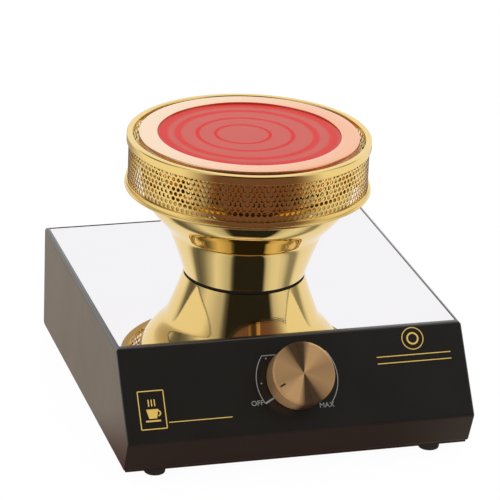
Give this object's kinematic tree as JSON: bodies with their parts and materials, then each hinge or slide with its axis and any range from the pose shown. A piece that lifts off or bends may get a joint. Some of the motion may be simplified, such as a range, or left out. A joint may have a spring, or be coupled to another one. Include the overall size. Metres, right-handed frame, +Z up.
{
  "type": "halogen beam heater for siphon coffee",
  "caption": "Low black base with a mirror top, a dimmer knob on its sloping front, and a gold trumpet-shaped lamp head with a red glass window in a perforated collar.",
  "frame": {"origin": "middle of the whole outline, on the surface that the feet stand on", "axes": "+Z up, -Y towards the knob side, +X to the right as seen from the front"},
  "size_m": [0.2, 0.2212, 0.1546],
  "materials": {
    "black_coating": "satin black powder coat",
    "mirror_steel": "polished stainless steel",
    "gold_plate": "polished gold plating",
    "rose_gold": "satin rose gold plating",
    "red_glass": "red heat-resistant glass",
    "knob_bronze": "spun and anodised bronze",
    "black_rubber": "matt moulded rubber",
    "silicone_seal": "heat-resistant silicone",
    "zinc_steel": "zinc-plated steel",
    "nut_brass": "plain brass",
    "reflector_aluminium": "bright anodised aluminium",
    "white_ceramic": "unglazed steatite",
    "quartz_glass": "clear quartz",
    "tungsten": "drawn tungsten wire",
    "black_plastic": "moulded black plastic",
    "board_green": "green solder mask",
    "block_green": "moulded green plastic",
    "coil_copper": "enamelled copper wire",
    "film_yellow": "dipped plastic",
    "brown_insulation": "wire insulation",
    "blue_insulation": "wire insulation",
    "green_insulation": "wire insulation",
    "glass_sleeving": "braided glass sleeving",
    "red_insulation": "wire insulation",
    "grey_insulation": "wire insulation"
  },
  "bodies": {
    "base": {"base_shell": "black_coating", "bottom_plate": "black_coating", "bottom_screws": "zinc_steel", "rubber_feet": "black_rubber", "foot_screws": "zinc_steel", "mirror_plate": "mirror_steel", "plate_nuts": "nut_brass", "bell": "gold_plate", "neck_gasket": "black_rubber", "neck_clamp": "zinc_steel", "neck_screws": "zinc_steel", "neck_nuts": "nut_brass", "reflector": "reflector_aluminium", "lamp_bracket": "zinc_steel", "lamp_socket": "white_ceramic", "socket_screws": "zinc_steel", "socket_nuts": "nut_brass", "lamp_capsule": "quartz_glass", "lamp_filament": "tungsten", "thermal_cutout": "zinc_steel", "glass_seal": "silicone_seal", "glass_window": "red_glass", "glass_ring": "rose_gold", "ring_screws": "gold_plate", "collar_sleeve": "gold_plate", "collar_top_rim": "gold_plate", "collar_low_rim": "gold_plate", "collar_brackets": "gold_plate", "bracket_rivets": "gold_plate", "control_body": "black_plastic", "control_washer": "zinc_steel", "control_nut": "nut_brass", "circuit_board": "board_green", "board_posts": "nut_brass", "board_screws": "zinc_steel", "power_switch_chip": "black_plastic", "heat_sink": "reflector_aluminium", "choke_coil": "coil_copper", "film_capacitor": "film_yellow", "terminal_block": "block_green", "inlet_body": "black_plastic", "inlet_pins": "nut_brass", "inlet_screws": "zinc_steel", "inlet_nuts": "nut_brass", "fan_frame": "black_plastic", "fan_screws": "zinc_steel", "live_lead": "brown_insulation", "neutral_lead": "blue_insulation", "earth_lead": "green_insulation", "earth_screw": "nut_brass", "lamp_lead_a": "glass_sleeving", "lamp_lead_b": "glass_sleeving", "fan_lead": "red_insulation", "control_lead": "grey_insulation"},
    "knob": {"knob": "knob_bronze", "knob_screw": "zinc_steel", "control_shaft": "zinc_steel"},
    "fan": {"fan_rotor": "black_plastic"}
  },
  "joints": [
    {"name": "knob_turn", "type": "hinge", "parent": "base", "child": "knob", "pos_m": [0, -0.08815, 0.0493], "axis": [0, 0.8087, -0.5882], "range_deg": [-10, 244]},
    {"name": "fan_spin", "type": "hinge", "parent": "base", "child": "fan", "pos_m": [0, 0.02262, 0.0146], "axis": [0, 0, 1], "continuous": true}
  ]
}
